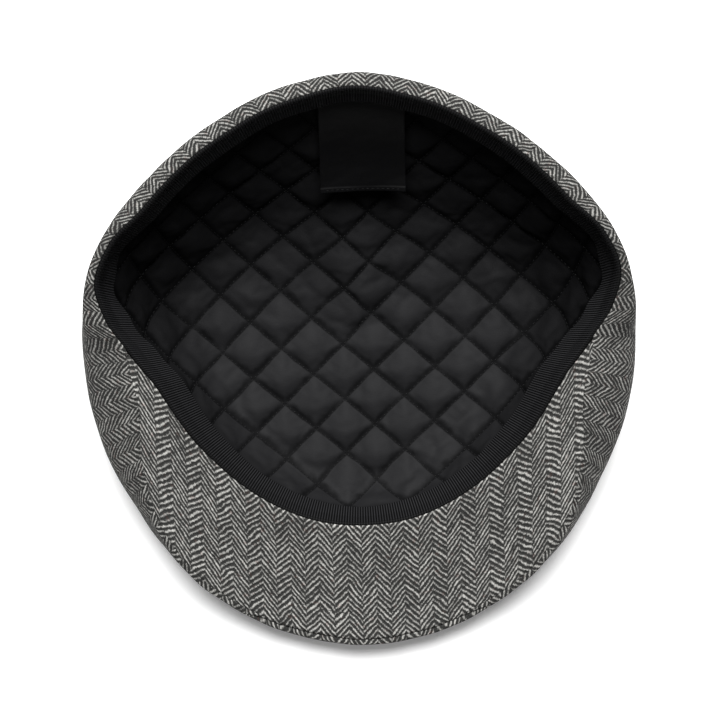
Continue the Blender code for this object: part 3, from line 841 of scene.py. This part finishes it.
def topstitch_peak():
    """Row of stitches through the peak, inside its edge."""
    azimuth = np.linspace(-PEAK_STITCH_END, PEAK_STITCH_END, 1200)
    whole = peak_points(azimuth, np.tile([0.0, 1.0], (len(azimuth), 1)))
    span = np.linalg.norm(whole[:, 1] - whole[:, 0], axis=1)
    share = 1 - TOPSTITCH_INSET / span
    line = peak_points(azimuth, share[:, None])[:, 0]
    line[:, 2] += PEAK_SWELL * waves(line, PEAK_SWELL_SIZE, 31) - STITCH_DIP
    return stitch_row(line, np.tile([0.0, 0.0, 1.0], (len(line), 1)), pitch=0.0027, length=0.0018)


# ---------- ribbon
def make_ribbon():
    """Ribbed sweatband, creased along its middle and crumpled at the corners of the opening."""
    fine = np.linspace(-180, 180, 3601)
    line = band_points(fine, np.full((len(fine), 1), BAND_WIDTH / 2))[:, 0]
    arc = arc_lengths(line)
    ribs = round(arc[-1] / RIB_PITCH)
    per_rib = 4
    steps = np.arange(ribs * per_rib) / (ribs * per_rib)
    azimuth = np.interp(steps * arc[-1], arc, fine)
    shares = np.array([0, 0.02, 0.05, 0.09, 0.14, 0.22, 0.31, 0.40, 0.46, 0.50,
                       0.54, 0.60, 0.69, 0.78, 0.86, 0.92, 0.96, 0.985, 1.0])
    share = shares[None, :]
    width = np.broadcast_to(BAND_WIDTH * share, (len(azimuth), len(shares)))
    points = band_points(azimuth, width)
    inward = np.insert(-heading(azimuth)[0], 2, 0.0, axis=1)[:, None]
    normal = grid_normals(points, inward, ring=True)
    rib = np.cos(2 * math.pi * np.arange(len(azimuth)) / per_rib)[:, None] * RIB_DEPTH
    rib = rib * blend((share - 0.06) / 0.05) * blend((0.985 - share) / 0.04)
    turn = turn_of(azimuth)[:, None]
    crease = -RIBBON_CREASE * np.sqrt((1 - np.abs(2 * share - 1)) ** 2 + 0.02)
    corner = np.exp(-((turn - RIBBON_CORNER) / 9) ** 2)
    tucked = -RIBBON_TUCK * corner * share ** 1.4
    ripple = 0.0006 * np.exp(-((turn - 100) / 15) ** 2) * share
    ripple = ripple * np.sin(np.radians(turn * 41) + 2.5 * share)
    slack = 0.0003 * waves(points, 0.022, 41) * share
    edge = edge_rounding(width, 0.0008) + edge_rounding(BAND_WIDTH - width, 0.0004)
    points = points + normal * (rib + crease + tucked + ripple + slack - edge)[..., None]
    cloth = cloth_places((steps * ribs * RIB_PITCH)[:, None], width)
    obj = closed_sheet("ribbon", points, normal, cloth, RIBBON_THICKNESS, grosgrain,
                       back_rows=5, ring=True)
    return dress(obj, "grosgrain", "sweatband")


# ---------- quilted lining
CELL = 14
QUILT_SINK = 0.0026
QUILT_LIMIT = 0.0042
QUILT_PUFF = 0.0030
PILLOW_CREST = 0.38
PILLOW_BOW = 0.28
PILLOW_SHARP = 24
SATIN_THICKNESS = 0.0006
QUILT_SLACK = 0.45
LINING_FADE = 0.005
SIM_SCALE = 10.0
SIM_FRAMES = 14
STITCH_RADIUS = 0.00015

# Quilting in sides of a diamond: how many are covered each way, and the stitches on each
QUILT_REACH = 12
STITCHES_PER_SIDE = 8

Quilt = namedtuple("Quilt", "p q azimuth length edge quads")


def on_lining(flat):
    """Azimuths and distances of places on the flat lining, and its own length at the azimuths."""
    fine = np.linspace(-180, 180, 721)
    azimuth = np.degrees(np.arctan2(flat[..., 0], -flat[..., 1]))
    edge = np.interp(azimuth, fine, lining_outline(fine)[2][:, -1])
    return azimuth, np.linalg.norm(flat, axis=-1), edge


def quilt_sheet():
    """The quilting's lattice, cut off at the lining's edge."""
    ticks = np.arange(-QUILT_REACH * CELL, QUILT_REACH * CELL + 1) / CELL
    p, q = np.meshgrid(ticks, ticks, indexing="ij")
    flat = SHIFT + p[..., None] * FIRST + q[..., None] * SECOND
    azimuth, distance, edge = on_lining(flat)
    quads = grid_quads(*p.shape)
    quads = quads[(distance < edge).ravel()[quads].sum(axis=1) >= 2]
    used = np.unique(quads)
    lookup = np.full(p.size, -1)
    lookup[used] = np.arange(len(used))
    grids = (p, q, azimuth, np.minimum(distance, edge), edge)
    return Quilt(*(grid.ravel()[used] for grid in grids), lookup[quads])


def lining_frame(azimuth, length, edge):
    """Points on the lining at lists of azimuths and lengths, and their normals to the head."""
    step, turn = 0.0006, 0.3
    low = np.maximum(length, 0.003)
    points, ahead, behind, left, right = (
        lining_points(azimuth + by, at[:, None])[:, 0] for by, at in (
            (0, length), (0, np.minimum(low + step, edge)),
            (0, np.minimum(low - step, edge - 2 * step)), (-turn, low), (turn, low)))
    normal = unit(np.cross(right - left, ahead - behind))
    guide = np.insert(-0.5 * heading(azimuth)[0], 2, 1.0, axis=1)
    normal *= np.where((normal * guide).sum(axis=1, keepdims=True) < 0, -1.0, 1.0)
    return points, normal


def puff(obj, held, growth):
    """Blow the cloth out between its held points with a cloth simulation."""
    group = obj.vertex_groups.new(name="held")
    group.add(np.nonzero(held)[0].tolist(), 1.0, "REPLACE")
    mesh = obj.data
    rest = np.empty(len(mesh.vertices) * 3, np.float32)
    mesh.vertices.foreach_get("co", rest)
    mesh.vertices.foreach_set("co", rest * SIM_SCALE)
    cloth = obj.modifiers.new("cloth", "CLOTH")
    for key, value in dict(
            quality=5, mass=0.2, tension_stiffness=18, compression_stiffness=18, shear_stiffness=8,
            bending_stiffness=1.5, air_damping=2.0, vertex_group_mass="held", shrink_min=-growth,
            shrink_max=-growth, use_pressure=True, uniform_pressure_force=4.0).items():
        setattr(cloth.settings, key, value)
    cloth.settings.effector_weights.gravity = 0.0
    cloth.point_cache.frame_start = 1
    cloth.point_cache.frame_end = SIM_FRAMES
    for number in range(1, SIM_FRAMES + 1):
        bpy.context.scene.frame_set(number)
    blown = obj.evaluated_get(bpy.context.evaluated_depsgraph_get()).to_mesh()
    moved = np.empty_like(rest)
    blown.vertices.foreach_get("co", moved)
    obj.modifiers.remove(cloth)
    obj.vertex_groups.remove(group)
    bpy.context.scene.frame_set(1)
    shift = moved.reshape(-1, 3) / SIM_SCALE - rest.reshape(-1, 3)
    size = np.linalg.norm(shift, axis=1, keepdims=True)
    return shift * np.minimum(1.0, QUILT_LIMIT / np.maximum(size, 1e-9))


def make_lining():
    """Quilted lining: satin held down along the seams of its diamonds and blown out between."""
    quilt = quilt_sheet()
    points, normal = lining_frame(quilt.azimuth, quilt.length, quilt.edge)
    p_off, q_off = (np.abs(lattice - np.round(lattice)) * 2 for lattice in (quilt.p, quilt.q))
    p_lean, q_lean = (np.interp(lattice - np.floor(lattice), [0, PILLOW_CREST, 1], [0, 0.5, 1])
                      for lattice in (quilt.p, quilt.q))
    fade = blend((quilt.edge - quilt.length) / LINING_FADE)
    angle = np.radians(quilt.azimuth)
    cloth = cloth_places(np.sin(angle) * quilt.length, -np.cos(angle) * quilt.length)
    low = points - normal * QUILT_SINK
    obj = make_mesh("quilted_lining", low, [quilt.quads[:, ::-1]], cloth, quilt_satin)
    bow = np.sqrt(np.sin(math.pi * p_lean) * np.sin(math.pi * q_lean))
    facet = sum(np.exp(PILLOW_SHARP * (np.abs(2 * lean - 1) - 1)) for lean in (p_lean, q_lean))
    facet = -np.log(facet / 2) / PILLOW_SHARP
    facet = 1 - (1 - np.clip(facet, 0, 1)) ** 1.25
    shift = normal * (QUILT_PUFF * (PILLOW_BOW * bow + (1 - PILLOW_BOW) * facet))[:, None]
    held = (np.minimum(p_off, q_off) < 0.5 / CELL) | (quilt.edge - quilt.length < 0.0015)
    shift = shift * (1 - QUILT_SLACK) + puff(obj, held, growth=0.045) * QUILT_SLACK
    fold = 0.00034 * waves(points, 0.011, 51) + 0.00013 * waves(points, 0.005, 52)
    shift = shift * (0.25 + 0.75 * fade)[:, None]
    shift = shift + normal * (fold * np.minimum(p_off, q_off) * fade)[:, None]
    obj.data.vertices.foreach_set("co", (low + shift).astype(np.float32).ravel())
    obj.data.update()
    thick = obj.modifiers.new("thick", "SOLIDIFY")
    thick.thickness = SATIN_THICKNESS
    thick.offset = -1.0
    dress(obj, "quilted_satin", "lining")


def stitch_quilt():
    """Stitches along every seam of the quilting."""
    starts, ends, normals = [], [], []
    last = QUILT_REACH * STITCHES_PER_SIDE
    for along, across in ((FIRST, SECOND), (SECOND, FIRST)):
        line, step = np.meshgrid(np.arange(-QUILT_REACH, QUILT_REACH + 1), np.arange(-last, last),
                                 indexing="ij")
        ends_of = []
        for shift in (0.16, 0.84):
            ends_of.append(on_lining(SHIFT + line.ravel()[:, None] * across
                                     + (step.ravel() + shift)[:, None] / STITCHES_PER_SIDE * along))
        inside = np.all([distance < edge - 0.003 for azimuth, distance, edge in ends_of], axis=0)
        for store, (azimuth, distance, edge) in zip((starts, ends), ends_of):
            place_at, normal = lining_frame(azimuth[inside], distance[inside], edge[inside])
            store.append(place_at - normal * (QUILT_SINK - STITCH_RADIUS * 0.2))
        normals.append(normal)
    return [np.concatenate(part) for part in (starts, ends, normals)]


# ---------- label
def label_surface(across, length):
    """Label points for offsets across (A) and lengths down (n)."""
    back_radius = rim(np.array([180.0]))[0][0]
    azimuth = 180 - np.degrees(np.arctan2(across, back_radius))
    steps = 60
    travel = np.linspace(0, LABEL_LENGTH, steps + 1)
    middle = (travel[1:] + travel[:-1]) / 2
    free = np.maximum(middle - LABEL_TUCK, 0) / (LABEL_LENGTH - LABEL_TUCK)

    def path(at):
        start = band_points(at, np.full((len(at), 1), BAND_WIDTH - LABEL_TUCK),
                            outward=BAND_THICKNESS + CLEARANCE)[:, 0]
        top_slope = np.degrees(np.arccos(read_table(SECTIONS, at).band_lean))[:, None]
        bend = (1 - free[None, :]) ** 2
        slope = np.radians(LABEL_END_SLOPE + (top_slope - LABEL_END_SLOPE) * bend)
        run = LABEL_LENGTH / steps
        found = []
        for axis, part in ((1, np.cos(slope)), (2, np.sin(slope))):
            way = start[:, axis:axis + 1] - summed(part * run)
            found.append(np.stack([np.interp(length, travel, row) for row in way]))
        return found

    edge_y, edge_z = path(azimuth)
    middle_y, middle_z = path(np.array([180.0]))
    flat = blend((length - LABEL_TUCK) / (LABEL_LENGTH - LABEL_TUCK))[None, :]
    y = edge_y + (middle_y - edge_y) * flat
    z = edge_z + (middle_z - edge_z) * flat
    return np.stack([np.broadcast_to(across[:, None], y.shape), y, z], axis=-1)


def label_skin(side, length):
    """The label's face at shares across (A) and lengths down (n): points, normals, cloth places."""
    across = LABEL_OFFSET + LABEL_WIDTH * (side - 0.5)
    points = label_surface(across, length)
    normal = grid_normals(points, np.array([0.0, -1.0, 1.0]))
    from_end = (LABEL_LENGTH - length)[None, :]
    hem = 0.00025 * blend((LABEL_HEM - from_end) / 0.0004)
    hem = hem - edge_rounding(from_end, 0.0005)
    free = blend(length / LABEL_LENGTH)[None, :]
    corner = np.exp(-from_end / 0.006)
    curl = (0.0004 + 0.0009 * corner) * (2 * side[:, None] - 1) ** 2 * free
    swell = (0.0003 * waves(points, 0.02, 61) + 0.0001 * waves(points, 0.006, 62)) * free
    points = points + normal * (hem + curl + swell)[..., None]
    return points, normal, cloth_places(across[:, None], length[None, :])


def make_label():
    points, normal, cloth = label_skin(ease(60, 1.3), LABEL_LENGTH * ease(120, 1.3))
    obj = closed_sheet("label_flap", points, normal, cloth, 0.0005, label_satin, back_rows=20)
    return dress(obj, "label_satin", "label")


def stitch_hem():
    """Row of stitches that holds the label's folded hem."""
    middle = LABEL_LENGTH - LABEL_HEM * 0.55
    lines = middle + np.array([-0.0003, 0, 0.0003])
    points, normal = label_skin(np.linspace(0.03, 0.97, 400), lines)[:2]
    return stitch_row(points[:, 1], normal[:, 1], pitch=0.0019, length=0.0013)


make_side("side_panel_left", -1, "crown_side_left")
make_side("side_panel_right", 1, "crown_side_right")
make_top()
make_peak()
sew("peak_topstitch", topstitch_peak(), 0.00016, dark_thread, "tweed")
make_ribbon()
make_lining()
sew("quilting_stitches", stitch_quilt(), STITCH_RADIUS, black_thread, "quilted_satin")
make_label()
sew("label_stitches", stitch_hem(), 0.00011, black_thread, "label_satin")


# ---------- floor, light and camera
floor = make_mesh("floor", [(-4, -4, 0), (4, -4, 0), (4, 4, 0), (-4, 4, 0)], [[(0, 1, 2, 3)]],
                  [(0, 0), (1, 0), (1, 1), (0, 1)], smooth=False)
paper = Graph("paper", 0.9)
paper.shader.inputs["Emission Color"].default_value = (1, 1, 1, 1)
paper.shader.inputs["Emission Strength"].default_value = 0.2
paper_noise = paper.noise(paper.node("ShaderNodeTexCoord", output="Object"), 3.0)
paper_colour = paper.mix(paper_noise, (0.86, 0.86, 0.86, 1), (0.88, 0.88, 0.88, 1))
floor.data.materials.append(paper.finish(paper_colour))

world = bpy.data.worlds.new("studio")
bpy.context.scene.world = world
world.use_nodes = True
background = world.node_tree.nodes["Background"].inputs
background["Color"].default_value = (1, 1, 1, 1)
background["Strength"].default_value = 0.05

# A wide soft light above the back, aimed at the cap
light = bpy.data.lights.new("key", "AREA")
light.shape = "DISK"
light.size = 2.0
light.energy = 221.0
key = put("key", light)
key.location = (0.0, 1.3, 2.5)
key.rotation_euler = (Vector((0, 0, 0.03)) - key.location).to_track_quat("-Z", "Y").to_euler()

# The camera looks straight down
CAMERA_HEIGHT = 1.347
camera_data = bpy.data.cameras.new("camera")
camera_data.sensor_width = 36.0
camera_data.lens = 172.95
camera = put("camera", camera_data)
camera.location = (0.0, 0.00185, CAMERA_HEIGHT)
camera.rotation_euler = (0.0, 0.0, math.radians(-1.61))
bpy.context.scene.camera = camera
bpy.context.scene.view_settings.view_transform = "Standard"
